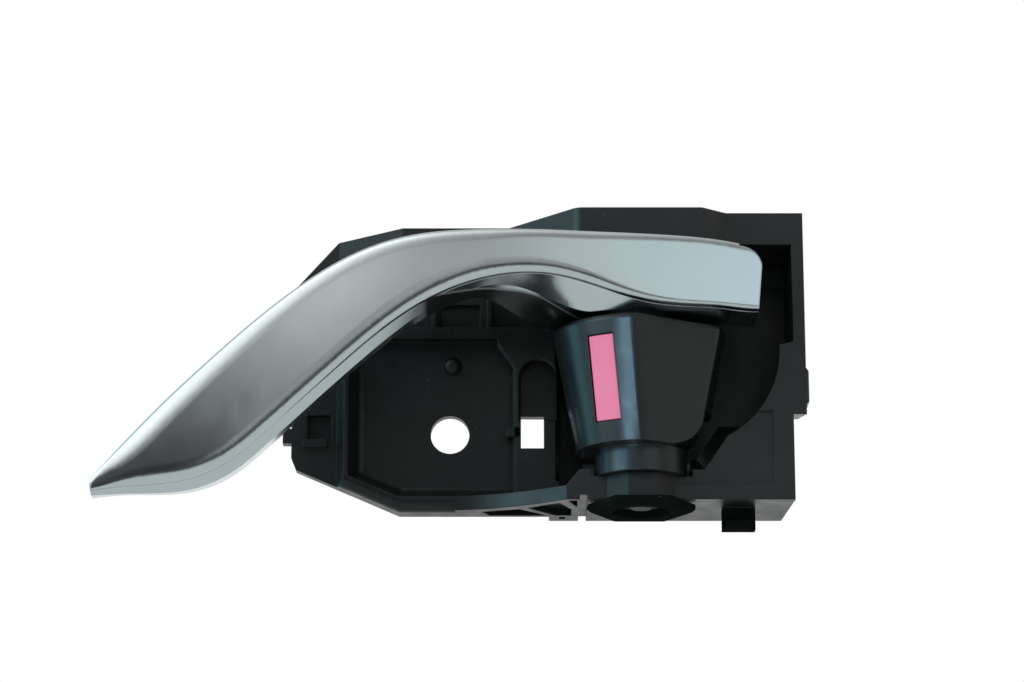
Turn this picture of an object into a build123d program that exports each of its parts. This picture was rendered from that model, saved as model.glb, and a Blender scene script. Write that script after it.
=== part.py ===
from build123d import *
from math import cos, radians, sin
import os

os.makedirs("parts", exist_ok=True)

# Driving dimensions in millimetres and degrees.
# The origin is the centre of the screw hole on the mounting face; +X is right, -Y is the front, +Z is up.

# Shared upright pivot
pivot_x = 47.5
pivot_y = -17.0
pin_radius = 3.0
pin_seat_clearance = 0.02
pin_running_clearance = 0.05
pin_head_radius = 5.0
pin_head_height = 1.6
pin_head_clearance = 0.4
pin_tail = 0.9
retainer_radius = 5.6
retainer_thickness = 0.8
retainer_recess_radius = 7.0
retainer_recess_depth = 2.6

# Heights stacked along the pivot
base_bottom = -20.5
boss_height = 5.9
collar_height = 6.4
knob_height = 30.8
washer_thickness = 1.2
washer_radius = 8.0
hub_height = 20.6
hub_end_play = 0.4
lug_thickness = 8.2
boss_top = base_bottom + boss_height
knob_bottom = boss_top + collar_height
knob_top = knob_bottom + knob_height
lever_bottom = knob_top + washer_thickness
hub_top = lever_bottom + hub_height
lug_bottom = hub_top + hub_end_play
base_top = lug_bottom + lug_thickness

# Base: tray on the left
screw_hole_radius = 4.9
plate_thickness = 3.0
base_left = -40.0
left_top = 37.7
left_bottom = -6.0
left_nick = 1.3
left_nick_z = -9.2
bottom_corner_x = -12.6
top_corner_x = -12.2
shoulder_x = -28.7
shoulder_drop = 2.6
tray_wall = 2.4
sill_height = 3.6
sill_round = 2.8
tray_depth = 8.0
flange_depth = 3.5
flange_width = 11.5
flange_foot_width = 13.8
flange_rise = 9.0
hollow_inset = 14.4
hollow_left_top = 43.0
hollow_left_bottom = -11.6
hollow_top_x = -18.0
tray_draft = 28.0
tray_floor_round = 2.0
peg_radius = 2.4
shelf_thickness = 2.8
shelf_reach = 4.0
rib_width = 1.2
rib_reach = 3.0
shelf_height = 24.2
plateau_width = 11.6
land_chamfer = 0.8
recess_chamfer = 0.5

# Base: block on the right
block_front = -21.0
lug_front = -26.0
block_back = 5.0
block_wall = 3.0
back_wall = 2.5
panel_thickness = 2.6
right_reach = 41.1
lower_step = 3.3
lower_taper = 1.5
step_rise = 21.5
step_slope = 5.0
panel_recess = 0.7
opening_foot = 15.6
opening_low_x = 21.5
opening_low_z = 8.6
opening_bend_x = 31.3
opening_bend_z = 18.0
opening_high_gap = 3.5
opening_high_z = 31.5
opening_top_z = 32.5
ramp_lift = 4.4
ramp_right = 27.0
snap_reach = 0.8
lug_half_width = 15.6
facet_width = 17.0
lug_corner_round = 3.5
block_left_reach = 20.0
beam_height = 7.7
beam_wall = 1.6
beam_slant = 3.4
block_corner_round = 1.2
neck_across_flats = 17.4
flange_radius = 13.4
flange_height = 2.0
flange_drop = 2.5
knob_clearance = 1.5
hook_width = 8.2
hook_drop = 5.7
hook_thickness = 3.5
hook_front = -12.0
cable_seat_thickness = 3.0
cable_seat_width = 10.0
cable_seat_radius = 2.2
arm_window_gap = 0.8
lock_window_half_width = 12.1
base_right = pivot_x + right_reach
block_left = pivot_x - block_left_reach

# Lever
lever_front = -42.3
front_peak = -52.5
front_bend_radius = 820.0
face_bow_radius = 190.0
lever_depth = 9.7
tip_depth = 5.0
full_section_width = 13.0
lip_depth = 2.5
band_depth = 3.0
heel_belly = 0.8
heel_slope = 0.9
heel_share = 0.18
shell_depth = 5.4
end_roll = 2.2
top_roll = 4.2
blade_roll = 6.6
end_lip = 0.8
arch_lip = 4.6
blade_lip = 4.2
seam_inset = 0.35
seam_gap = 0.1
seam_groove = 0.2
heel_drop = 1.9
hub_radius = 9.2
end_thinning = 0.75
ear_height = 6.4
spring_pocket_radius = 7.4
end_corner_radius = 5.5
arm_width = 6.0
arm_thickness = 4.0
lever_arm_reach = 26.0
arm_eye_radius = 1.6
lever_screw_radius = 1.5
lever_screw_seat_clearance = 0.02
lever_screw_head_radius = 2.6
lever_screw_head_height = 1.6
lever_screw_head_clearance = 0.3
lever_screw_tip_cover = 1.7

# Stretches of the lever, measured from the pivot, along which its section changes
tip_stretch = (-133.0, -105.0)
edge_stretch = (-150.0, -115.0)
blade_stretch = (-125.0, -50.0)
arch_left_stretch = (-95.0, -45.0)
arch_right_stretch = (-40.0, 15.0)
crown_stretch = (-70.0, 20.0)
band_stretch = (-72.0, -28.0)
heel_stretch = (-44.0, -28.0)
heel_front_stretch = (-31.0, -12.0)
hub_stretch = (-46.0, -8.0)
end_stretch = (4.0, 27.0)

# Springs and stop
spring_wire_radius = 0.7
spring_coil_radius = 5.4
spring_turns = 4
spring_pitch = 1.5
spring_side_gap = 0.2
spring_leg = 9.0
spring_leg_cover = 0.8
spring_leg_clearance = 0.05
stop_pad_thickness = 2.0
stop_pad_depth = 5.0
stop_rib_thickness = 2.5
detent_thickness = 0.5
detent_width = 4.0
detent_half_span = 14.0
detent_flat_depth = 0.8
detent_slit_clearance = 0.1
detent_lift = 0.4

# Lock knob
knob_top_radius = 21.7
knob_bottom_radius = 15.9
collar_radius = 11.5
knob_shell = 2.6
knob_open_depth = 4.0
knob_hub_radius = 6.5
knob_web = 2.0
pad_angle = 31.0
pad_sink_top = 3.9
pad_sink_bottom = 1.8
pad_half_angle = 33.0
pad_left_round = 5.0
pad_right_round = 2.5
knob_corner_share = 0.2987013
knob_corner_reach = 15.6
knob_rim_round = 1.2
indicator_angle = 30.3
indicator_width = 6.5
indicator_height = 20.8
indicator_centre = 15.5
indicator_thickness = 1.2
indicator_sink = 0.35
indicator_side_gap = 0.35
lock_arm_angle = 110.0
lock_arm_reach = 27.0
lock_arm_height = 5.0
lock_travel = 40.0


def from_pivot(reach, angle):
    """A plan point at a radius and an angle round the pivot."""
    return (pivot_x + reach * cos(radians(angle)), pivot_y + reach * sin(radians(angle)))


def slab(x0, x1, y0, y1, z0, z1, mode=Mode.ADD):
    """A box given by its six faces."""
    with Locations(((x0 + x1) / 2, (y0 + y1) / 2, (z0 + z1) / 2)):
        Box(x1 - x0, y1 - y0, z1 - z0, mode=mode)


def post(radius, z0, z1, mode=Mode.ADD):
    """A round post or bore on the pivot."""
    with Locations((pivot_x, pivot_y, z0)):
        Cylinder(radius, z1 - z0, align=(Align.CENTER, Align.CENTER, Align.MIN), mode=mode)


def cable_arm(reach, angle, z0):
    """A flat arm from the pivot with an eye for a cable end."""
    with BuildSketch(Plane.XY.offset(z0)) as strip:
        with Locations(from_pivot(reach / 2, angle)):
            SlotCenterToCenter(reach, arm_width, rotation=angle)
        with Locations(from_pivot(reach, angle)):
            Circle(arm_eye_radius, mode=Mode.SUBTRACT)
    extrude(strip.sketch, amount=arm_thickness)


# Places of the return spring's two legs
spring_start = lever_bottom + ear_height + spring_wire_radius + spring_side_gap
spring_end = spring_start + spring_turns * spring_pitch
spring_x = pivot_x + spring_coil_radius

# Lever edges seen from the front, measured from the pivot and the lever's underside
upper_points = [(29.8, 15.2), (14.5, 17.7), (0, 18.5), (-35, 19.4), (-62.5, 16.5)]
upper_points += [(-88, 2.1), (-108.1, -15.5), (-125.2, -32.8), (-133.5, -43.4)]
lower_points = [(28.4, -0.6), (15, 0.2), (0, 1.5), (-20, 7.4), (-36, 7.3), (-53, 0.9)]
lower_points += [(-72, -13.7), (-92, -32.1), (-104, -41), (-112, -43.4), (-123, -44.5), (-133.2, -45.9)]
upper_edge = Spline(*[(pivot_x + u, 0, lever_bottom + v) for u, v in upper_points])
lower_edge = Spline(*[(pivot_x + u, 0, lever_bottom + v) for u, v in lower_points])
station_count = 22
stations = [n / (station_count - 1) for n in range(station_count)]


def blend(value, stretch):
    """A smooth step from 0 at the low end of a stretch to 1 at its high end."""
    low, high = stretch
    share = min(1, max(0, (value - low) / (high - low)))
    return share * share * (3 - 2 * share)


def lever_station(t):
    """The section plane and the sizes of the lever's section at one station."""
    low = lower_edge @ t
    high = upper_edge @ t
    across = high - low
    width = across.length
    run = across.X / width
    rise = across.Z / width
    plane = Plane(origin=(low.X, 0, low.Z), x_dir=(run, 0, rise), z_dir=(-rise, 0, run))
    middle = (low.X + high.X) / 2 - pivot_x
    front = lever_front + (middle - front_peak) ** 2 / (2 * front_bend_radius)
    strap_back = front + tip_depth + (lever_depth - tip_depth) * blend(middle, tip_stretch)
    hub_back = pivot_y + hub_radius
    hubness = blend(middle, hub_stretch) * (1 - end_thinning * blend(middle, end_stretch))
    back = strap_back + (hub_back - strap_back) * hubness
    reach_down = max(0.4, (low.Z - lever_bottom) / rise)
    drop = heel_drop + (reach_down - heel_drop) * blend(middle, heel_stretch)
    drop = drop * blend(middle, edge_stretch)
    roll = blade_roll + (top_roll - blade_roll) * blend(middle, blade_stretch)
    roll = roll + (end_roll - roll) * blend(middle, crown_stretch)
    lip = blade_lip + (arch_lip - blade_lip) * blend(middle, arch_left_stretch)
    lip = lip + (end_lip - lip) * blend(middle, arch_right_stretch)
    slant = blend(middle, band_stretch) * (1 - blend(middle, heel_front_stretch))
    return plane, width, front, back, drop, roll, lip, slant


def lever_end_corner():
    """Rounds the upper corner of the lever's right end."""
    corner_x = pivot_x + upper_points[0][0] - 0.4
    corner_z = lever_bottom + upper_points[0][1] + 0.2
    with BuildSketch(Plane.XZ) as corner:
        with Locations((corner_x - end_corner_radius, corner_z - end_corner_radius)):
            Rectangle(end_corner_radius * 2, end_corner_radius * 2, align=(Align.MIN, Align.MIN))
            Circle(end_corner_radius, mode=Mode.SUBTRACT)
    extrude(corner.sketch, amount=-lever_front * 1.2, mode=Mode.SUBTRACT)


def lever_screw_place(t):
    """The centre, head seat and tip of one lever screw."""
    plane, width, front, back = lever_station(t)[:4]
    centre = plane.from_local_coords((width * 0.45, 0))
    seat = back - lever_screw_head_height - lever_screw_head_clearance
    return centre.X, centre.Z, back, seat, front + lever_screw_tip_cover


lever_screw_places = [lever_screw_place(t) for t in (stations[10], stations[16])]

# Front skin of the lever: a rolled lip below, a slightly bowed face and a rolled top
with BuildPart() as lever_shell:
    for t in stations:
        plane, width, front, back, drop, roll, lip, slant = lever_station(t)
        scale = min(1, width / full_section_width)
        roll_depth = min(roll, top_roll) * scale
        face_low = lip * scale
        face_high = width - roll * scale
        face_run = face_high - face_low
        face_bow = face_run * face_run / (8 * face_bow_radius)
        face_slope = face_run / (2 * face_bow_radius)
        with BuildSketch(plane):
            with BuildLine():
                lip_curve = Bezier(
                    (0, front + lip_depth * scale),
                    (0, front + face_slope * face_low),
                    (face_low, front),
                )
                face = ThreePointArc(
                    lip_curve @ 1,
                    ((face_low + face_high) / 2, front - face_bow),
                    (face_high, front),
                )
                top_curve = Bezier(
                    face @ 1,
                    (width, front + face_slope * (width - face_high)),
                    (width, front + roll_depth),
                )
                Polyline(top_curve @ 1, (width, front + shell_depth * scale), lip_curve @ 0)
            make_face()
    loft()
    lever_end_corner()
    for x, z, back, seat, tip in lever_screw_places:
        with BuildSketch(Plane.XZ.offset(-tip)):
            with Locations((x, z)):
                Circle(lever_screw_radius + lever_screw_seat_clearance)
        extrude(amount=tip - seat, mode=Mode.SUBTRACT)
lever_shell.part.label = "lever_shell"
export_step(lever_shell.part, "parts/lever_shell.step")

# Rear half of the lever with its hub and cable arm
with BuildPart() as lever_back:
    for t in stations:
        plane, width, front, back, drop, roll, lip, slant = lever_station(t)
        scale = min(1, width / full_section_width)
        inset = seam_inset * scale
        slope = (shell_depth - lip_depth) * scale / width
        seam_front = front + lip_depth * scale + slope * seam_groove + seam_gap
        groove = seam_groove * scale
        halfway = (seam_front + back) / 2
        band_back = min(seam_front + max(band_depth * scale, drop * heel_slope), halfway)
        corner_x = -drop * (heel_share * slant + 1 - slant)
        corner_y = (halfway - heel_belly) * slant + band_back * (1 - slant)
        with BuildSketch(plane):
            Polygon(
                (0, seam_front + groove),
                (groove, seam_front),
                (width - inset, front + shell_depth * scale - slope * inset + seam_gap),
                (width - 1.2 * scale, back),
                (-drop, back),
                (corner_x, corner_y),
                align=None,
            )
    loft()
    lever_end_corner()
    post(knob_top_radius + knob_clearance, lever_bottom - knob_height, lever_bottom, Mode.SUBTRACT)
    post(hub_radius, lever_bottom, hub_top)
    cable_arm(lever_arm_reach, 90, hub_top - ear_height)
    post(spring_pocket_radius, lever_bottom + ear_height, hub_top - ear_height, Mode.SUBTRACT)
    slab(
        pivot_x - spring_pocket_radius,
        pivot_x + hub_radius * 1.5,
        pivot_y,
        pivot_y + hub_radius * 2,
        lever_bottom + ear_height,
        hub_top - ear_height,
        Mode.SUBTRACT,
    )
    post(pin_radius + pin_running_clearance, lever_bottom, hub_top, Mode.SUBTRACT)
    with BuildSketch(Plane.XZ.offset(-pivot_y)):
        with Locations((spring_x, spring_end)):
            Circle(spring_wire_radius + spring_leg_clearance)
    extrude(amount=spring_leg, mode=Mode.SUBTRACT)
    for x, z, back, seat, tip in lever_screw_places:
        for radius, y0, y1 in (
            (lever_screw_radius + lever_screw_seat_clearance, tip, back + 1),
            (lever_screw_head_radius + lever_screw_head_clearance, seat, back + 1),
        ):
            with BuildSketch(Plane.XZ.offset(-y1)):
                with Locations((x, z)):
                    Circle(radius)
            extrude(amount=y1 - y0, mode=Mode.SUBTRACT)
lever_back.part.label = "lever_back"
export_step(lever_back.part, "parts/lever_back.step")

# Screws that join the two halves of the lever
with BuildPart() as lever_screws:
    for x, z, back, seat, tip in lever_screw_places:
        with BuildSketch(Plane.XZ.offset(-seat)):
            with Locations((x, z)):
                Circle(lever_screw_radius)
        extrude(amount=seat - tip)
        with BuildSketch(Plane.XZ.offset(-seat)):
            with Locations((x, z)):
                Circle(lever_screw_head_radius)
        extrude(amount=-lever_screw_head_height)
        with BuildSketch(Plane.XZ.offset(-seat - lever_screw_head_height)):
            with Locations((x, z)):
                RegularPolygon(lever_screw_radius * 0.8, 6)
        extrude(amount=lever_screw_head_height * 0.6, mode=Mode.SUBTRACT)
lever_screws.part.label = "lever_screws"
export_step(lever_screws.part, "parts/lever_screws.step")

# Lock knob: a hollow tapered shell open at the back, with a flat thumb pad and a hub
knob_taper = (knob_top_radius - knob_bottom_radius) / knob_height
knob_corner_round = knob_height * knob_corner_share
pad_direction = -90 + pad_angle
indicator_direction = -90 - indicator_angle
indicator_normal = (cos(radians(indicator_direction)), sin(radians(indicator_direction)), -knob_taper)
indicator_across = (-sin(radians(indicator_direction)), cos(radians(indicator_direction)), 0)
indicator_reach = knob_bottom_radius + knob_taper * indicator_centre
indicator_x, indicator_y = from_pivot(indicator_reach, indicator_direction)
indicator_plane = Plane(
    (indicator_x, indicator_y, knob_bottom + indicator_centre),
    x_dir=indicator_across,
    z_dir=indicator_normal,
)


def knob_cone(sink, mode=Mode.ADD):
    """The knob's outer cone, drawn in by a depth."""
    with Locations((pivot_x, pivot_y, knob_bottom)):
        Cone(
            knob_bottom_radius - sink,
            knob_top_radius - sink,
            knob_height,
            align=(Align.CENTER, Align.CENTER, Align.MIN),
            mode=mode,
        )


with BuildPart() as indicator_recess:
    with BuildSketch(indicator_plane):
        Rectangle(indicator_width + 2 * indicator_side_gap, indicator_height + 2 * indicator_side_gap)
    extrude(amount=indicator_thickness * 3, both=True)
    knob_cone(indicator_sink + indicator_thickness, Mode.SUBTRACT)

with BuildPart() as lock_indicator:
    with BuildSketch(indicator_plane):
        Rectangle(indicator_width, indicator_height)
    extrude(amount=indicator_thickness * 3, both=True)
    knob_cone(indicator_sink, Mode.INTERSECT)
    knob_cone(indicator_sink + indicator_thickness, Mode.SUBTRACT)
lock_indicator.part.label = "lock_indicator"
export_step(lock_indicator.part, "parts/lock_indicator.step")

def knob_form(sink):
    """The knob's closed form with its pad and its rounded lower corner, drawn in by a depth."""
    pad_x, pad_y = from_pivot(knob_bottom_radius - pad_sink_bottom - sink, pad_direction)
    pad_taper = knob_taper - (pad_sink_top - pad_sink_bottom) / knob_height
    pad_normal = (cos(radians(pad_direction)), sin(radians(pad_direction)), -pad_taper)
    pad_across = (-sin(radians(pad_direction)), cos(radians(pad_direction)), 0)
    corner_centre = (pivot_x + knob_corner_reach - knob_corner_round, knob_bottom + knob_corner_round)
    with BuildPart() as form:
        knob_cone(sink)
        with BuildSketch(Plane((pad_x, pad_y, knob_bottom), x_dir=pad_across, z_dir=pad_normal)):
            Rectangle(knob_top_radius * 4, knob_height * 4)
        extrude(amount=knob_top_radius, mode=Mode.SUBTRACT)
        with BuildSketch(Plane.XZ.offset(-pivot_y - knob_top_radius)) as corner:
            with Locations(corner_centre):
                Rectangle(knob_corner_round * 2, knob_corner_round * 2, align=(Align.MIN, Align.MAX))
                Circle(knob_corner_round - sink, mode=Mode.SUBTRACT)
        extrude(corner.sketch, amount=knob_top_radius * 2, mode=Mode.SUBTRACT)
        for z0 in (knob_bottom + sink - knob_height, knob_top - sink):
            post(knob_top_radius * 2, z0, z0 + knob_height, Mode.SUBTRACT)
    return form.part


with BuildPart() as knob_web_plate:
    slab(
        pivot_x - knob_top_radius,
        pivot_x + knob_top_radius,
        pivot_y - knob_web / 2,
        pivot_y + knob_web / 2,
        knob_bottom,
        knob_top,
    )
    add(knob_form(knob_shell / 2), mode=Mode.INTERSECT)

with BuildPart() as lock_knob:
    add(knob_form(0))
    slab(
        pivot_x - knob_top_radius * 2,
        pivot_x + knob_top_radius * 2,
        pivot_y + knob_open_depth,
        pivot_y + knob_top_radius * 2,
        knob_bottom - 1,
        knob_top + 1,
        Mode.SUBTRACT,
    )
    for turn, edge_round in ((-pad_half_angle, pad_left_round), (pad_half_angle, pad_right_round)):
        edge_x, edge_y = from_pivot((knob_bottom_radius + knob_top_radius) / 2, pad_direction + turn)
        edge_place = (edge_x, edge_y, (knob_bottom + knob_top) / 2)
        fillet(lock_knob.edges().sort_by_distance(edge_place)[0], edge_round)
    rim_edges = lock_knob.edges().filter_by_position(Axis.Z, knob_top - 0.01, knob_top + 0.01)
    fillet(rim_edges.filter_by_position(Axis.Y, -100, pivot_y + knob_open_depth - 0.5), knob_rim_round)
    add(knob_form(knob_shell), mode=Mode.SUBTRACT)
    post(knob_hub_radius, knob_bottom, knob_top)
    add(knob_web_plate.part)
    post(collar_radius, boss_top, knob_bottom)
    for turn in (0, lock_travel):
        flat_x, flat_y = from_pivot(collar_radius - detent_flat_depth, 90 + turn)
        with Locations(Location((flat_x, flat_y, boss_top), (0, 0, 90 + turn))):
            Box(
                collar_radius,
                collar_radius * 2,
                collar_height,
                align=(Align.MIN, Align.CENTER, Align.MIN),
                mode=Mode.SUBTRACT,
            )
    cable_arm(lock_arm_reach, lock_arm_angle, knob_bottom + lock_arm_height)
    post(pin_radius + pin_running_clearance, boss_top, knob_top, Mode.SUBTRACT)
    add(indicator_recess.part, mode=Mode.SUBTRACT)
lock_knob.part.label = "lock_knob"
export_step(lock_knob.part, "parts/lock_knob.step")

# Pin, its push-on ring and the washer between knob and lever
flange_bottom = base_bottom - flange_drop
recess_ceiling = flange_bottom + retainer_recess_depth
pin_head_seat = base_top - pin_head_height - pin_head_clearance
pin_end = recess_ceiling - retainer_thickness - pin_tail
with BuildPart() as pivot_pin:
    post(pin_radius, pin_end, pin_head_seat)
    chamfer(pivot_pin.edges().sort_by(Axis.Z)[0], pin_radius * 0.2)
    post(pin_head_radius, pin_head_seat, pin_head_seat + pin_head_height)
    fillet(pivot_pin.edges().sort_by(Axis.Z)[-1], pin_head_height * 0.4)
pivot_pin.part.label = "pivot_pin"
export_step(pivot_pin.part, "parts/pivot_pin.step")

with BuildPart() as pin_retainer:
    post(retainer_radius, recess_ceiling - retainer_thickness, recess_ceiling)
    with BuildSketch(Plane.XY.offset(recess_ceiling - retainer_thickness)):
        with Locations((pivot_x, pivot_y)):
            Circle(pin_radius + pin_seat_clearance)
        for n in range(6):
            with Locations(from_pivot(pin_radius * 1.15, 60 * n)):
                Rectangle(pin_radius * 0.5, pin_radius * 0.2, rotation=60 * n)
    extrude(amount=retainer_thickness, mode=Mode.SUBTRACT)
pin_retainer.part.label = "pin_retainer"
export_step(pin_retainer.part, "parts/pin_retainer.step")

with BuildPart() as thrust_washer:
    post(washer_radius, knob_top, lever_bottom)
    post(pin_radius + pin_running_clearance, knob_top, lever_bottom, Mode.SUBTRACT)
thrust_washer.part.label = "thrust_washer"
export_step(thrust_washer.part, "parts/thrust_washer.step")

# Torsion spring with one leg in the lever and one leg in the base
with BuildPart() as lever_spring:
    with BuildLine() as spring_path:
        Line((spring_x, block_back - spring_leg_cover, spring_start), (spring_x, pivot_y, spring_start))
        Helix(
            spring_pitch,
            spring_turns * spring_pitch,
            spring_coil_radius,
            center=(pivot_x, pivot_y, spring_start),
            lefthand=True,
        )
        Line((spring_x, pivot_y, spring_end), (spring_x, pivot_y - spring_leg, spring_end))
    with BuildSketch(Plane((spring_x, block_back - spring_leg_cover, spring_start), z_dir=(0, -1, 0))):
        Circle(spring_wire_radius)
    sweep(path=spring_path.line, is_frenet=True)
lever_spring.part.label = "lever_spring"
export_step(lever_spring.part, "parts/lever_spring.step")

# Leaf spring that presses on the two flats of the knob's collar
detent_front = pivot_y + collar_radius - detent_flat_depth
detent_low = base_bottom + beam_height + detent_lift
detent_end = block_back - spring_leg_cover
with BuildPart() as lock_detent_spring:
    slab(
        pivot_x - detent_half_span,
        pivot_x + detent_half_span,
        detent_front,
        detent_front + detent_thickness,
        detent_low,
        detent_low + detent_width,
    )
    for outer in (-detent_half_span, detent_half_span - detent_thickness):
        leg_x = pivot_x + outer
        slab(leg_x, leg_x + detent_thickness, detent_front, detent_end, detent_low, detent_low + detent_width)
lock_detent_spring.part.label = "lock_detent_spring"
export_step(lock_detent_spring.part, "parts/lock_detent_spring.step")

# Soft pad that the lever's cable arm rests on
arm_low = hub_top - ear_height
pad_left = pivot_x + arm_width / 2
pad_back = block_back - back_wall
with BuildPart() as lever_stop_pad:
    slab(
        pad_left,
        pad_left + stop_pad_thickness,
        pad_back - stop_pad_depth,
        pad_back,
        arm_low,
        arm_low + arm_thickness,
    )
lever_stop_pad.part.label = "lever_stop_pad"
export_step(lever_stop_pad.part, "parts/lever_stop_pad.step")

# Base
lug_left = pivot_x - lug_half_width
lug_right = pivot_x + lug_half_width
tray_right = block_left
plateau_left = tray_right - plateau_width
beam_top = base_bottom + beam_height
step_z = base_bottom + step_rise
inner_right = base_right - block_wall
lower_right = base_right - lower_step
lower_right_back = lower_right - lower_taper
inner_back = block_back - back_wall
shelf_top = shelf_height + shelf_thickness
lock_arm_low = knob_bottom + lock_arm_height
with BuildPart() as base:
    # Tray with its cut corners, a low flange on the left and a drafted hollow
    with BuildSketch(Plane.XZ):
        Polygon(
            (base_left, left_top),
            (base_left, left_bottom),
            (base_left + left_nick, left_nick_z),
            (bottom_corner_x, base_bottom),
            (tray_right, base_bottom),
            (tray_right, base_top),
            (top_corner_x, base_top),
            (shoulder_x, base_top - shoulder_drop),
            align=None,
        )
    extrude(amount=tray_depth)
    front_edges = base.faces().sort_by(Axis.Y)[0].edges()
    fillet(front_edges.filter_by_position(Axis.Z, base_bottom - 1, left_bottom - 1), sill_round)
    with BuildSketch(Plane.XY.offset(base_bottom)):
        Polygon(
            (base_left - 1, -flange_depth),
            (base_left + flange_width, -flange_depth),
            (base_left + flange_foot_width, -tray_depth - 1),
            (base_left - 1, -tray_depth - 1),
            align=None,
        )
    extrude(amount=base_top - base_bottom, mode=Mode.SUBTRACT)
    with BuildSketch(Plane.XY.offset(shelf_top + flange_rise)):
        Polygon(
            (base_left - 1, -flange_depth),
            (shoulder_x, -flange_depth),
            (top_corner_x, -tray_depth),
            (top_corner_x, -tray_depth - 1),
            (base_left - 1, -tray_depth - 1),
            align=None,
        )
    extrude(amount=base_top, mode=Mode.SUBTRACT)
    with BuildSketch(Plane.XZ.offset(tray_depth)):
        Polygon(
            (base_left + hollow_inset, hollow_left_top),
            (base_left + hollow_inset, hollow_left_bottom),
            (bottom_corner_x, base_bottom + sill_height),
            (tray_right + 3, base_bottom + sill_height),
            (tray_right + 3, base_top - tray_wall),
            (hollow_top_x, base_top - tray_wall),
            align=None,
        )
    extrude(amount=plate_thickness - tray_depth, taper=tray_draft, mode=Mode.SUBTRACT)
    floor_edges = base.edges().filter_by_position(Axis.Y, -plate_thickness - 0.01, -plate_thickness + 0.01)
    fillet(floor_edges, tray_floor_round)

    # Shelf, ribs, dome peg and raised land in the tray
    slab(base_left + 16, plateau_left, -plate_thickness - shelf_reach, -1, shelf_height, shelf_top)
    for rib_x in (-4.7, 9.3):
        slab(rib_x, rib_x + rib_width, -plate_thickness - rib_reach, -1, shelf_height, base_top - tray_wall)
    slab(-2.6, 7.5, -plate_thickness - 1, -1.4, shelf_top + 0.3, shelf_top + 7, Mode.SUBTRACT)
    with Locations((0.5, -plate_thickness, 17.7)):
        Sphere(peg_radius)
    with BuildSketch(Plane.XZ.offset(1)):
        Polygon(
            (plateau_left, base_bottom + 1),
            (plateau_left, 16.4),
            (plateau_left - 4, 22.2),
            (plateau_left - 4, shelf_top),
            (tray_right, shelf_top),
            (tray_right, base_bottom + 1),
            align=None,
        )
    extrude(amount=plate_thickness + shelf_reach - 1)
    land_front = -plate_thickness - shelf_reach
    land_edges = base.edges().filter_by_position(Axis.Y, land_front - 0.01, land_front + 0.01)
    land_edges = land_edges.filter_by_position(Axis.X, plateau_left - 3.9, plateau_left + 0.1)
    chamfer(land_edges, land_chamfer)
    with BuildSketch(Plane.XZ.offset(plate_thickness)):
        with Locations((plateau_left + 6.4, 3)):
            Rectangle(9, 11, align=(Align.CENTER, Align.MIN))
            with Locations((0, 11)):
                Circle(4.5)
    extrude(amount=shelf_reach + 1, mode=Mode.SUBTRACT)
    recess_edges = base.edges().filter_by_position(Axis.Y, land_front - 0.01, land_front + 0.01)
    recess_edges = recess_edges.filter_by_position(Axis.X, plateau_left + 1.5, plateau_left + 11.2)
    chamfer(recess_edges.filter_by_position(Axis.Z, 3, 20), recess_chamfer)
    slab(plateau_left - 1.5, plateau_left + 0.5, land_front, -1, -1.4, 1.0)
    slab(plateau_left + 0.5, plateau_left + 1.7, land_front - 1, -plate_thickness, -1.4, 1.0, Mode.SUBTRACT)
    slab(plateau_left + 2, plateau_left + 7.8, -tray_depth, 1, -4.4, 4.7, Mode.SUBTRACT)
    post(knob_top_radius + knob_clearance, beam_top, lever_bottom, Mode.SUBTRACT)

    # Clip recess, lip and nub on the left flange
    slab(base_left + 4, base_left + 10, -tray_depth, -1.2, -1.5, 5, Mode.SUBTRACT)
    slab(base_left + 3, base_left + 9, -flange_depth - 1.6, -1, -3.6, -1.6)
    slab(base_left - 2.2, base_left + 1, -flange_depth, 0, -2.3, 1.5)

    # Upper lug, with a slanted face to its left and a short one to its right
    with BuildSketch(Plane.XY.offset(lug_bottom)):
        Polygon(
            (lug_left - facet_width, 0),
            (lug_left - facet_width, -tray_depth),
            (lug_left, lug_front),
            (lug_right, lug_front),
            (lug_right + 6.3, block_front),
            (base_right, block_front),
            (base_right, block_back),
            (tray_right, block_back),
            (tray_right, 0),
            align=None,
        )
    extrude(amount=lug_thickness)
    for corner_x, corner_y, corner_round in (
        (lug_left, lug_front, lug_corner_round),
        (lug_right, lug_front, block_corner_round),
    ):
        corner_place = (corner_x, corner_y, lug_bottom + lug_thickness / 2)
        fillet(base.edges().sort_by_distance(corner_place)[0], corner_round)

    # Low sill swept forward from the tray, and the thicker floor of the block with a slanted left end
    with BuildSketch(Plane.XY.offset(base_bottom)):
        with BuildLine():
            sweep_curve = Bezier(
                (tray_right - 26, -tray_depth),
                (tray_right - 13, -tray_depth - 1.2),
                (tray_right + 1.5, block_front),
            )
            Polyline(
                sweep_curve @ 1,
                (tray_right + 3, block_front),
                (tray_right + 3, 0),
                (tray_right - 26, 0),
                sweep_curve @ 0,
            )
        make_face()
    extrude(amount=sill_height)
    with BuildSketch(Plane.XZ.offset(-block_front)):
        Polygon(
            (tray_right + 1.5, base_bottom),
            (tray_right + 1.5, base_bottom + sill_height),
            (tray_right + 1.5 + beam_slant, beam_top),
            (lower_right, beam_top),
            (lower_right, base_bottom),
            align=None,
        )
    extrude(amount=block_front - block_back)
    with BuildSketch(Plane.XY.offset(base_bottom)):
        Polygon(
            (lower_right, block_front),
            (lower_right_back, block_back),
            (lower_right, block_back),
            align=None,
        )
    extrude(amount=beam_height, mode=Mode.SUBTRACT)

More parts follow.
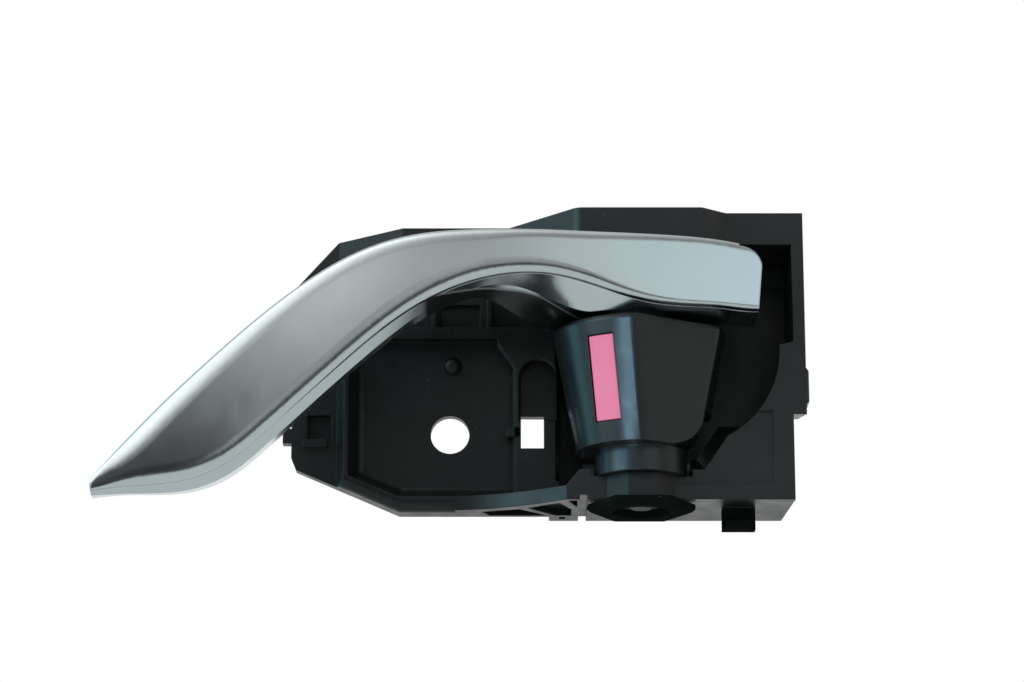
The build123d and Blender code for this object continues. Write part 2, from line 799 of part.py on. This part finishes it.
    # Block walls: right, back, the step from the tray and the front panel with its curved opening
    slab(inner_right, base_right, block_front, block_back, step_z, base_top)
    with BuildSketch(Plane.XY.offset(base_bottom)):
        Polygon(
            (lower_right, block_front),
            (lower_right_back, block_back),
            (lower_right_back - block_wall, block_back),
            (lower_right - block_wall, block_front),
            align=None,
        )
    extrude(amount=step_z - base_bottom)
    slab(tray_right, base_right, inner_back, block_back, step_z, base_top)
    slab(tray_right, lower_right_back, inner_back, block_back, base_bottom, step_z)
    slab(tray_right - back_wall, tray_right, -plate_thickness, block_back, base_bottom, base_top)
    slab(lower_right_back - block_wall, base_right, block_front, block_back, step_z, step_z + step_slope + 2)
    with BuildSketch(Plane.XZ.offset(-block_front)):
        with BuildLine():
            corner_arc = ThreePointArc(
                (pivot_x + opening_low_x, beam_top + opening_low_z),
                (pivot_x + opening_bend_x, beam_top + opening_bend_z),
                (inner_right - opening_high_gap, beam_top + opening_high_z),
            )
            Polyline(
                corner_arc @ 1,
                (inner_right, beam_top + opening_top_z),
                (inner_right, base_top),
                (base_right, base_top),
                (base_right, step_z),
                (lower_right, step_z),
                (lower_right, base_bottom),
                (pivot_x, base_bottom),
                (pivot_x, beam_top),
                (pivot_x + opening_foot, beam_top),
                corner_arc @ 0,
            )
        make_face()
    extrude(amount=-panel_thickness)
    with BuildSketch(Plane.XZ.offset(-block_front)):
        with Locations((pivot_x + 10, base_bottom + 3.9)):
            Rectangle(right_reach - 18.3, 18.5, align=(Align.MIN, Align.MIN))
    extrude(amount=-panel_recess, mode=Mode.SUBTRACT)
    with BuildSketch(Plane.YZ.offset(lower_right)):
        Polygon(
            (block_front - 1, step_z),
            (block_front, step_z),
            (block_back, step_z + step_slope),
            (block_back, base_bottom),
            (block_front - 1, base_bottom),
            align=None,
        )
    extrude(amount=right_reach, mode=Mode.SUBTRACT)

    # Ramp behind the front panel that clears the turning knob
    for ramp_y, lift in ((block_front + panel_thickness, 0), (pivot_y + 6, ramp_lift)):
        with BuildSketch(Plane.XZ.offset(-ramp_y)):
            Polygon(
                (pivot_x + collar_radius + 0.8, beam_top + lift),
                (pivot_x + opening_foot - lift * 0.3, beam_top + lift),
                (pivot_x + opening_low_x - lift * 0.4, beam_top + opening_low_z + lift),
                (pivot_x + ramp_right, beam_top + opening_low_z + lift),
                (pivot_x + ramp_right, base_bottom + 1),
                (pivot_x + collar_radius + 0.8, base_bottom + 1),
                align=None,
            )
    loft(ruled=True)

    # Boss for the pin with its neck and flange, in a round pocket for the knob's collar
    post(collar_radius + knob_clearance, boss_top, beam_top, Mode.SUBTRACT)
    with BuildSketch(Plane.XY.offset(flange_bottom)):
        with Locations((pivot_x, pivot_y)):
            RegularPolygon(neck_across_flats / 2, 8, major_radius=False, rotation=22.5)
    extrude(amount=boss_top - flange_bottom)
    with BuildSketch(Plane.XY.offset(flange_bottom)):
        with Locations((pivot_x, pivot_y)):
            RegularPolygon(flange_radius, 6)
    extrude(amount=flange_height)
    chamfer(base.faces().sort_by(Axis.Z)[0].edges(), 0.8)
    slab(
        pivot_x - flange_radius - 1.8,
        pivot_x - flange_radius + 0.2,
        lug_front,
        block_back + 1,
        base_bottom - 1,
        base_bottom + 1.2,
        Mode.SUBTRACT,
    )

    # Hollows in the underside of the sill and the block, and in the top of the lug
    for height, corners in (
        (sill_height, ((-19.5, -6.2), (-10, -9.4), (-2.9, -1.6), (-17.5, -1.6))),
        (sill_height, ((-8.1, -10.6), (-0.1, -17), (3, -9), (3, -1.6), (-0.9, -1.6))),
        (beam_height, ((1.9, -19.4), (4.3, -19.4), (4.3, -11.6))),
    ):
        with BuildSketch(Plane.XY.offset(base_bottom)):
            Polygon(*[(tray_right + x, y) for x, y in corners], align=None)
        extrude(amount=height - beam_wall, mode=Mode.SUBTRACT)
    for corners in (
        ((-19, -10), (-13, -23.4), (-7.6, -23.4), (-7.6, -2), (-19, -2)),
        ((7.6, -23.4), (14.6, -23.4), (19, -19.4), (19, 2.4), (7.6, 2.4)),
        ((21, -18.4), (right_reach - 3, -18.4), (right_reach - 3, 2.4), (21, 2.4)),
    ):
        with BuildSketch(Plane.XY.offset(base_top)):
            Polygon(*[(pivot_x + x, y) for x, y in corners], align=None)
        extrude(amount=beam_wall - lug_thickness, mode=Mode.SUBTRACT)

    # Hook under the block and snap on its right side
    hook_left = pivot_x + 20.3
    hook_right = hook_left + hook_width
    hook_bottom = base_bottom - hook_drop
    slab(hook_left, hook_right, hook_front, hook_front + hook_thickness, hook_bottom, base_bottom + 1)
    slab(hook_left + 0.8, hook_right - 0.8, hook_front - 1.2, hook_front, hook_bottom, hook_bottom + 2.2)
    slab(base_right - 1, base_right + snap_reach, block_front + 1, pivot_y + 10, step_z + 3, step_z + 12)
    chamfer(base.faces().sort_by(Axis.X)[-1].edges(), snap_reach * 0.7)

    # Seats for the two cable sheaths behind the block
    for seat_y, seat_z in (
        (pivot_y + lever_arm_reach, arm_low + arm_thickness / 2),
        (from_pivot(lock_arm_reach, lock_arm_angle)[1], lock_arm_low + arm_thickness / 2),
    ):
        seat_x = lower_right_back - cable_seat_thickness
        slab(
            seat_x,
            lower_right_back,
            block_back - 1,
            seat_y + 4,
            seat_z - cable_seat_width / 2,
            seat_z + cable_seat_width / 2,
        )
        with BuildSketch(Plane.YZ.offset(seat_x)):
            with Locations((seat_y, seat_z)):
                Circle(cable_seat_radius)
                Rectangle(6, cable_seat_radius * 1.6, align=(Align.MIN, Align.CENTER))
        extrude(amount=cable_seat_thickness, mode=Mode.SUBTRACT)

    # Rib behind the lever's stop pad
    slab(
        pad_left + stop_pad_thickness,
        pad_left + stop_pad_thickness + stop_rib_thickness,
        pad_back - stop_pad_depth - 1,
        block_back,
        arm_low - 1,
        lug_bottom + 1,
    )

    # Windows for the two cable arms, holes for the springs and the pin, and the screw hole
    slab(
        pivot_x - 20.4,
        pad_left + stop_pad_thickness,
        inner_back - 0.5,
        block_back + 1,
        arm_low - arm_window_gap,
        arm_low + arm_thickness + arm_window_gap,
        Mode.SUBTRACT,
    )
    slab(
        pivot_x - lock_window_half_width,
        pivot_x + lock_window_half_width,
        inner_back - 0.5,
        block_back + 1,
        lock_arm_low - arm_window_gap,
        lock_arm_low + arm_thickness + arm_window_gap,
        Mode.SUBTRACT,
    )
    for outer in (-detent_half_span, detent_half_span - detent_thickness):
        slab(
            pivot_x + outer - detent_slit_clearance,
            pivot_x + outer + detent_thickness + detent_slit_clearance,
            inner_back - 0.5,
            block_back + 1,
            detent_low - detent_slit_clearance,
            detent_low + detent_width + detent_slit_clearance,
            Mode.SUBTRACT,
        )
    with BuildSketch(Plane.XZ.offset(-block_back)):
        with Locations((spring_x, spring_start)):
            Circle(spring_wire_radius + spring_leg_clearance)
    extrude(amount=back_wall, mode=Mode.SUBTRACT)
    post(pin_radius + pin_seat_clearance, flange_bottom, base_top, Mode.SUBTRACT)
    post(pin_head_radius + pin_head_clearance, pin_head_seat, base_top, Mode.SUBTRACT)
    post(retainer_recess_radius, flange_bottom, recess_ceiling, Mode.SUBTRACT)
    with BuildSketch(Plane.XZ):
        Circle(screw_hole_radius)
    extrude(amount=tray_depth, mode=Mode.SUBTRACT)
base.part.label = "base"
export_step(base.part, "parts/base.step")
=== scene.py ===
"""Looks of a car interior door handle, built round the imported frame."""

import math

import bpy
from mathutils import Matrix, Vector

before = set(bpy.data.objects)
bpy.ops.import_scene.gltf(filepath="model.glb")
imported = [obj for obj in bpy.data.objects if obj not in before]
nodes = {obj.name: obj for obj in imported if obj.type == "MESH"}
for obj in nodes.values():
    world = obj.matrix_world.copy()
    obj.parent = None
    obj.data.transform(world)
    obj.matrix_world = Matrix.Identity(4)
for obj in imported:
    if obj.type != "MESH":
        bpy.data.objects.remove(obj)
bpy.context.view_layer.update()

MM = 0.001

# The photograph's view: from straight in front and a little below
VIEW_TARGET = Vector((15.65, -17.0, 20.8)) * MM
VIEW_RISE = math.radians(15.0)
VIEW_DISTANCE = 0.8
LENS_MM = 112.5
SENSOR_MM = 36.0
NEAR_CLIP = 0.05

# Floor
FLOOR_Z = -0.34
FLOOR_HALF = 0.8
FLOOR_TONES = (0.75, 0.79)
FLOOR_ROUGHNESS = 0.9

# Tones
DUST = (0.20, 0.21, 0.20)
PINK_DUST = (0.95, 0.62, 0.70)
BASE_DARK = (0.0062, 0.0078, 0.0072)
BASE_PALE = (0.0105, 0.0130, 0.0120)
KNOB_DARK = (0.0060, 0.0072, 0.0070)
KNOB_PALE = (0.0085, 0.0100, 0.0098)
PINK_DEEP = (0.82, 0.185, 0.315)
PINK_PALE = (0.88, 0.225, 0.360)
NATURAL_DARK = (0.62, 0.60, 0.55)
NATURAL_PALE = (0.72, 0.70, 0.65)
RUBBER_DARK = (0.008, 0.008, 0.008)
RUBBER_PALE = (0.015, 0.015, 0.015)
PLATING = (0.625, 0.685, 0.690)
PLATING_SPECK = (0.9, 0.91, 0.9)
PIN_STEEL = (0.10, 0.10, 0.105)
SCREW_STEEL = (0.46, 0.47, 0.48)
SPRING_STEEL = (0.14, 0.143, 0.148)

# Finishes, with a painted glow and painted shade
FULL_SHEEN = 0.5
# Sheen left deep in the base and under it, cut as painted shade
DEEP_PAINTED_SHADE_SHEEN = 0.3
LOW_PAINTED_SHADE_SHARE = 0.0
GRAIN_STRENGTH = 0.55
HAZE_STRENGTH = 0.25
WORN_SHARE = 0.965
# Painted glow: the pink indicator gives off light though it is no lamp
INDICATOR_PAINTED_GLOW = 0.25
EDGE_SAMPLES = 4
FINE_EDGE_SAMPLES = 8

# Noise scales, in waves per metre
PLASTIC_MOTTLE = 60.0
PLASTIC_GLOSS = 210.0
PLATING_MOTTLE = 45.0
PLATING_GLOSS = 120.0
FLOOR_MOTTLE = 6.0

# Specks of dust on the plastic and of wear on the plating
DUST_SPECKS = {"per_metre": 620.0, "size": 0.13, "patch_scale": 130.0, "patch_low": 0.5, "patch_high": 0.72}
WEAR_SPECKS = {"per_metre": 330.0, "size": 0.07, "patch_scale": 90.0, "patch_low": 0.58, "patch_high": 0.7}

# Where the base's sheen is cut as painted shade, in millimetres
PAINTED_SHADE_FRONT_Y = (-12.0, -7.0)
PAINTED_SHADE_TOP_Z = (36.0, 42.0)
PAINTED_SHADE_FOOT_Z = (-20.9, -20.6)

# The lever's hub, whose rear is left unplated: its slant in plan, and where the plating ends in millimetres
HUB_SLANT = -math.atan(0.4)
HUB_REAR = (-36.4, -35.4)
HUB_LEFT_X = (-9.0, -5.0)


def add_node(tree, kind, settings=None, **inputs):
    """A new shader node; each input is a value or a socket to link from."""
    node = tree.nodes.new(kind)
    for name, value in (settings or {}).items():
        setattr(node, name, value)
    for name, value in inputs.items():
        socket = node.inputs[int(name[1:])] if name[0] == "_" else node.inputs[name.replace("_", " ")]
        if isinstance(value, bpy.types.NodeSocket):
            tree.links.new(value, socket)
        else:
            socket.default_value = value
    return node


def ramp(tree, factor, stops):
    """A colour ramp through (position, grey or colour) stops."""
    node = tree.nodes.new("ShaderNodeValToRGB")
    tree.links.new(factor, node.inputs["Fac"])
    while len(node.color_ramp.elements) < len(stops):
        node.color_ramp.elements.new(0.5)
    for element, (position, colour) in zip(node.color_ramp.elements, stops):
        element.position = position
        element.color = (*colour, 1) if isinstance(colour, tuple) else (colour, colour, colour, 1)
    return node.outputs["Color"]


def new_material(name):
    """An empty node material, and its tree."""
    made = bpy.data.materials.new(name)
    made.use_nodes = True
    made.node_tree.nodes.clear()
    return made, made.node_tree


def finish_material(tree, shader):
    """Links a shader to a new material output."""
    output = tree.nodes.new("ShaderNodeOutputMaterial")
    tree.links.new(shader.outputs[0], output.inputs["Surface"])


def object_point(tree):
    """The surface point in the object's own metres."""
    return add_node(tree, "ShaderNodeTexCoord").outputs["Object"]


def noise(tree, point, scale, detail=2.0, rough=0.5):
    """A noise value; its scale is in waves per metre."""
    node = add_node(tree, "ShaderNodeTexNoise", Vector=point, Scale=scale, Detail=detail, Roughness=rough)
    return node.outputs[0]


def mixed(tree, factor, first, second, kind="MIX"):
    """Two colours mixed by a factor; each may be a socket or a plain colour."""
    node = add_node(tree, "ShaderNodeMix", {"data_type": "RGBA", "blend_type": kind}, Factor=factor)
    for name, value in (("A", first), ("B", second)):
        if isinstance(value, bpy.types.NodeSocket):
            tree.links.new(value, node.inputs[name])
        else:
            node.inputs[name].default_value = (*value, 1)
    return node.outputs["Result"]


def arithmetic(tree, operation, first, second):
    """The result of one operation on two values."""
    return add_node(tree, "ShaderNodeMath", {"operation": operation}, _0=first, _1=second).outputs[0]


def along(tree, point, axis, span_mm, first, second):
    """A value that runs from one to another between two places on an axis of the part."""
    place = add_node(tree, "ShaderNodeSeparateXYZ", Vector=point).outputs[axis]
    node = add_node(
        tree,
        "ShaderNodeMapRange",
        Value=place,
        From_Min=span_mm[0] * MM,
        From_Max=span_mm[1] * MM,
        To_Min=first,
        To_Max=second,
    )
    return node.outputs["Result"]


def specks(tree, point, per_metre, size, patch_scale, patch_low, patch_high):
    """A mask of small specks gathered in loose patches."""
    dots = add_node(tree, "ShaderNodeTexVoronoi", Vector=point, Scale=per_metre).outputs["Distance"]
    dot_mask = ramp(tree, dots, [(0.0, 1.0), (size, 0.0)])
    patches = ramp(tree, noise(tree, point, patch_scale, 5.0, 0.7), [(patch_low, 0.0), (patch_high, 1.0)])
    return arithmetic(tree, "MULTIPLY", dot_mask, patches)


def painted_shade_sheen(tree, point):
    """Sheen of the base, cut as painted shade: lower deep inside it, where shade falls, and least on the
    hook and the flange below it.
    """
    front = along(tree, point, "Y", PAINTED_SHADE_FRONT_Y, FULL_SHEEN, DEEP_PAINTED_SHADE_SHEEN)
    high = along(tree, point, "Z", PAINTED_SHADE_TOP_Z, 0.0, FULL_SHEEN)
    low = along(tree, point, "Z", PAINTED_SHADE_FOOT_Z, LOW_PAINTED_SHADE_SHARE, 1.0)
    return arithmetic(tree, "MULTIPLY", arithmetic(tree, "MAXIMUM", front, high), low)


def moulded_plastic(
    name, dark, pale, gloss, grain_mm, grain_depth_mm, edge_mm, dust=DUST, painted_glow=0.0, sheen=None
):
    """Moulded plastic: a fine grain, uneven gloss, softened edges and a little dust; where given, a painted
    glow and a sheen cut as painted shade.
    """
    made, tree = new_material(name)
    point = object_point(tree)
    colour = ramp(tree, noise(tree, point, PLASTIC_MOTTLE, 4.0, 0.6), [(0.35, dark), (0.7, pale)])
    colour = mixed(tree, specks(tree, point, **DUST_SPECKS), colour, dust)
    rough = ramp(tree, noise(tree, point, PLASTIC_GLOSS, 4.0, 0.6), [(0.3, gloss[0]), (0.7, gloss[1])])
    grain = noise(tree, point, 1.0 / (grain_mm * MM), 3.0, 0.65)
    edge = add_node(tree, "ShaderNodeBevel", {"samples": EDGE_SAMPLES}, Radius=edge_mm * MM)
    bump = add_node(
        tree,
        "ShaderNodeBump",
        Strength=GRAIN_STRENGTH,
        Distance=grain_depth_mm * MM,
        Height=grain,
        Normal=edge.outputs[0],
    )
    shader = add_node(
        tree,
        "ShaderNodeBsdfPrincipled",
        Base_Color=colour,
        Roughness=rough,
        # a given sheen function cuts the sheen here as painted shade
        Specular_IOR_Level=sheen(tree, point) if sheen else FULL_SHEEN,
        # the emission is a painted glow, not a lamp
        Emission_Color=colour,
        Emission_Strength=painted_glow,
        Normal=bump.outputs[0],
    )
    finish_material(tree, shader)
    return made


def hub_plating(tree, point):
    """Share of plating on the rear half of the lever, whose hub is left bare."""
    turned = {"rotation_type": "Z_AXIS"}
    slant = add_node(tree, "ShaderNodeVectorRotate", turned, Vector=point, Angle=HUB_SLANT)
    deep = along(tree, slant.outputs["Vector"], "Y", HUB_REAR, 0.0, 1.0)
    beside = along(tree, point, "X", HUB_LEFT_X, 0.0, 1.0)
    return arithmetic(tree, "SUBTRACT", 1.0, arithmetic(tree, "MULTIPLY", deep, beside))


def plated_metal(
    name, tone, gloss, haze_mm, haze_depth_mm, edge_mm, edge_samples=EDGE_SAMPLES, plated=None
):
    """Satin plating: a very fine haze, faint marks and pale specks, over the whole or a share."""
    made, tree = new_material(name)
    point = object_point(tree)
    worn = tuple(WORN_SHARE * v for v in tone)
    colour = ramp(tree, noise(tree, point, PLATING_MOTTLE, 3.0, 0.5), [(0.35, worn), (0.65, tone)])
    colour = mixed(tree, specks(tree, point, **WEAR_SPECKS), colour, PLATING_SPECK)
    rough = ramp(tree, noise(tree, point, PLATING_GLOSS, 4.0, 0.6), [(0.35, gloss[0]), (0.7, gloss[1])])
    metal = 1.0
    if plated:
        metal = plated(tree, point)
        colour = mixed(tree, metal, BASE_PALE, colour)
    haze = noise(tree, point, 1.0 / (haze_mm * MM), 2.0, 0.5)
    edge = add_node(tree, "ShaderNodeBevel", {"samples": edge_samples}, Radius=edge_mm * MM)
    bump = add_node(
        tree,
        "ShaderNodeBump",
        Strength=HAZE_STRENGTH,
        Distance=haze_depth_mm * MM,
        Height=haze,
        Normal=edge.outputs[0],
    )
    shader = add_node(
        tree,
        "ShaderNodeBsdfPrincipled",
        Base_Color=colour,
        Metallic=metal,
        Roughness=rough,
        Normal=bump.outputs[0],
    )
    finish_material(tree, shader)
    return made


# Materials of the pieces
plating = plated_metal(
    "lever_plating",
    PLATING,
    gloss=(0.185, 0.205),
    haze_mm=0.09,
    haze_depth_mm=0.0012,
    edge_mm=0.8,
    edge_samples=FINE_EDGE_SAMPLES,
)
core_plating = plated_metal(
    "lever_core_plating",
    PLATING,
    gloss=(0.2, 0.23),
    haze_mm=0.09,
    haze_depth_mm=0.0015,
    edge_mm=0.25,
    plated=hub_plating,
)
pin_steel = plated_metal(
    "pin_steel", PIN_STEEL, gloss=(0.6, 0.75), haze_mm=0.2, haze_depth_mm=0.01, edge_mm=0.2
)
screw_steel = plated_metal(
    "screw_steel", SCREW_STEEL, gloss=(0.3, 0.45), haze_mm=0.2, haze_depth_mm=0.01, edge_mm=0.15
)
spring_steel = plated_metal(
    "spring_steel", SPRING_STEEL, gloss=(0.3, 0.42), haze_mm=0.2, haze_depth_mm=0.01, edge_mm=0.05
)
base_plastic = moulded_plastic(
    "base_plastic",
    BASE_DARK,
    BASE_PALE,
    gloss=(0.33, 0.45),
    grain_mm=0.35,
    grain_depth_mm=0.035,
    edge_mm=0.4,
    # its sheen is cut as painted shade deep inside and underneath
    sheen=painted_shade_sheen,
)
knob_plastic = moulded_plastic(
    "knob_plastic", KNOB_DARK, KNOB_PALE, gloss=(0.26, 0.32), grain_mm=0.3, grain_depth_mm=0.014, edge_mm=0.4
)
indicator_plastic = moulded_plastic(
    "indicator_plastic",
    PINK_DEEP,
    PINK_PALE,
    gloss=(0.45, 0.6),
    grain_mm=0.3,
    grain_depth_mm=0.02,
    edge_mm=0.25,
    dust=PINK_DUST,
    # painted glow on the indicator
    painted_glow=INDICATOR_PAINTED_GLOW,
)
washer_plastic = moulded_plastic(
    "washer_plastic",
    NATURAL_DARK,
    NATURAL_PALE,
    gloss=(0.4, 0.55),
    grain_mm=0.3,
    grain_depth_mm=0.02,
    edge_mm=0.15,
)
pad_rubber = moulded_plastic(
    "pad_rubber", RUBBER_DARK, RUBBER_PALE, gloss=(0.7, 0.85), grain_mm=0.2, grain_depth_mm=0.04, edge_mm=0.3
)
looks = {
    "base": base_plastic,
    "lock_knob": knob_plastic,
    "lock_indicator": indicator_plastic,
    "lever_shell": plating,
    "lever_back": core_plating,
    "pivot_pin": pin_steel,
    "lever_screws": screw_steel,
    "pin_retainer": spring_steel,
    "lever_spring": spring_steel,
    "lock_detent_spring": spring_steel,
    "thrust_washer": washer_plastic,
    "lever_stop_pad": pad_rubber,
}
for name, look in looks.items():
    nodes[name].data.materials.clear()
    nodes[name].data.materials.append(look)

# Sky: patches that multiply, each as azimuth, elevation and (degrees from its middle, tone) stops
OVERHEAD = (0, 90, [(90, 0.9), (65, 0.78), (45, 0.5), (30, 0.52), (0, 0.8)])
FLOOR_BOUNCE = (0, -45, [(45, 1.0), (30, 1.2), (22, 1.5)])
LEFT_TINT = (-110, 8, [(50, 1.0), (25, (0.6, 1.0, 1.12))])
LEFT_SHADE = (-93, 13, [(24, 1.0), (12, 0.5)])
FRONT_SHADE = (20, 15, [(100, 1.0), (75, 0.66), (0, 0.6)])
RIGHT_GLOW_STOPS = [
    (29, 1.0),
    (27, 0.8),
    (24.5, 0.33),
    (22, 0.75),
    (20, 1.25),
    (18, (1.6, 1.74, 1.78)),
    (15, (1.4, 1.6, 1.65)),
    (12, (1.36, 1.65, 1.72)),
    (9, (1.57, 1.84, 1.98)),
    (4, (1.5, 1.85, 2.05)),
]
RIGHT_GLOW = (25, 16, RIGHT_GLOW_STOPS)
UPPER_LEFT_GLOW = (-65, 48, [(49, 1.0), (42, 1.45), (33, 2.4), (20, 3.6), (10, 4.2)])
BLADE_GLOW = (-8, 13, [(11, 1.0), (6.5, 1.5), (3.5, 2.3)])
TIP_SHADE = (-18, 2, [(17.6, 1.0), (16.4, 0.86), (14.8, 0.18), (11.4, 0.02)])
BACK_GLOW = (180, -15, [(60, 1.0), (30, 1.1)])
LOW_SHADE_STOPS = [(14, 1.0), (9, 0.4), (6, 0.1)]
LOW_SHADES = [(azimuth, -15, LOW_SHADE_STOPS) for azimuth in (-14, 0, 14, 28)]
SKY_PATCHES = [
    OVERHEAD,
    FLOOR_BOUNCE,
    LEFT_TINT,
    LEFT_SHADE,
    FRONT_SHADE,
    RIGHT_GLOW,
    UPPER_LEFT_GLOW,
    BLADE_GLOW,
    TIP_SHADE,
    BACK_GLOW,
    *LOW_SHADES,
]


def sky_place(azimuth, elevation):
    """A unit vector on the sky; azimuth 0 is the front and positive is to the right."""
    a = math.radians(azimuth)
    e = math.radians(elevation)
    return Vector((math.sin(a) * math.cos(e), -math.cos(a) * math.cos(e), math.sin(e)))


def sky_patch(tree, direction, azimuth, elevation, stops):
    """A round patch of sky as (degrees from its middle, tone) stops, from the rim inwards."""
    middle = sky_place(azimuth, elevation)
    nearness = add_node(tree, "ShaderNodeVectorMath", {"operation": "DOT_PRODUCT"}, _0=direction, _1=middle)
    cosines = [(math.cos(math.radians(degrees)), tone) for degrees, tone in stops]
    return ramp(tree, nearness.outputs["Value"], cosines)


# World: the sky lights the part, and the camera sees plain white
world = bpy.data.worlds.new("studio")
bpy.context.scene.world = world
world.use_nodes = True
tree = world.node_tree
tree.nodes.clear()
direction = add_node(tree, "ShaderNodeTexCoord").outputs["Generated"]
sky = sky_patch(tree, direction, *SKY_PATCHES[0])
for patch in SKY_PATCHES[1:]:
    sky = mixed(tree, 1.0, sky, sky_patch(tree, direction, *patch), "MULTIPLY")
lit = add_node(tree, "ShaderNodeBackground", Color=sky, Strength=1.0)
seen = add_node(tree, "ShaderNodeBackground", Color=(1, 1, 1, 1), Strength=1.0)
direct = tree.nodes.new("ShaderNodeLightPath").outputs["Is Camera Ray"]
both = add_node(tree, "ShaderNodeMixShader", Fac=direct, _1=lit.outputs[0], _2=seen.outputs[0])
world_output = tree.nodes.new("ShaderNodeOutputWorld")
tree.links.new(both.outputs[0], world_output.inputs["Surface"])


def softbox(name, pieces, azimuth, elevation, distance, width, height, power, colour):
    """An area light on a sphere round the handle, turned to face it, that lights the named pieces alone."""
    light = bpy.data.lights.new(name, "AREA")
    light.shape = "RECTANGLE"
    light.size = width
    light.size_y = height
    light.energy = power
    light.color = colour
    holder = bpy.data.objects.new(name, light)
    bpy.context.scene.collection.objects.link(holder)
    away = sky_place(azimuth, elevation)
    holder.location = VIEW_TARGET + away * distance
    holder.rotation_euler = away.to_track_quat("Z", "Y").to_euler()
    lit_pieces = bpy.data.collections.new(name + "_pieces")
    for piece in pieces:
        lit_pieces.objects.link(nodes[piece])
    holder.light_linking.receiver_collection = lit_pieces


# Lamps: a bluish window for all but the plated lever, and two for the knob
unplated = [name for name in nodes if looks[name] not in (plating, core_plating)]
softbox(
    "left_window",
    unplated,
    azimuth=-55,
    elevation=8,
    distance=1.4,
    width=0.95,
    height=0.4,
    power=3.6,
    colour=(0.25, 0.86, 1.15),
)
softbox(
    "knob_light",
    ["lock_knob"],
    azimuth=-19,
    elevation=-7,
    distance=1.6,
    width=0.5,
    height=0.4,
    power=6.6,
    colour=(0.52, 0.88, 1.18),
)
softbox(
    "knob_side",
    ["lock_knob"],
    azimuth=-108,
    elevation=4,
    distance=1.4,
    width=0.9,
    height=0.6,
    power=1.9,
    colour=(0.22, 0.78, 1.0),
)

# Floor
floor_mesh = bpy.data.meshes.new("floor")
corners = [(x * FLOOR_HALF, y * FLOOR_HALF, FLOOR_Z) for x, y in ((-1, -1), (1, -1), (1, 1), (-1, 1))]
floor_mesh.from_pydata(corners, [], [(0, 1, 2, 3)])
floor = bpy.data.objects.new("floor", floor_mesh)
bpy.context.scene.collection.objects.link(floor)
paper, tree = new_material("floor_paper")
mottle = noise(tree, object_point(tree), FLOOR_MOTTLE, 3.0)
paper_tone = ramp(tree, mottle, [(0.3, FLOOR_TONES[0]), (0.7, FLOOR_TONES[1])])
paper_shader = add_node(tree, "ShaderNodeBsdfPrincipled", Base_Color=paper_tone, Roughness=FLOOR_ROUGHNESS)
finish_material(tree, paper_shader)
floor_mesh.materials.append(paper)

# Camera
lens = bpy.data.cameras.new("camera")
lens.lens = LENS_MM
lens.sensor_width = SENSOR_MM
lens.clip_start = NEAR_CLIP
camera = bpy.data.objects.new("camera", lens)
bpy.context.scene.collection.objects.link(camera)
sight = Vector((0.0, math.cos(VIEW_RISE), math.sin(VIEW_RISE)))
camera.location = VIEW_TARGET - sight * VIEW_DISTANCE
camera.rotation_euler = (math.pi / 2 + VIEW_RISE, 0.0, 0.0)
bpy.context.scene.camera = camera
bpy.context.scene.view_settings.view_transform = "Standard"
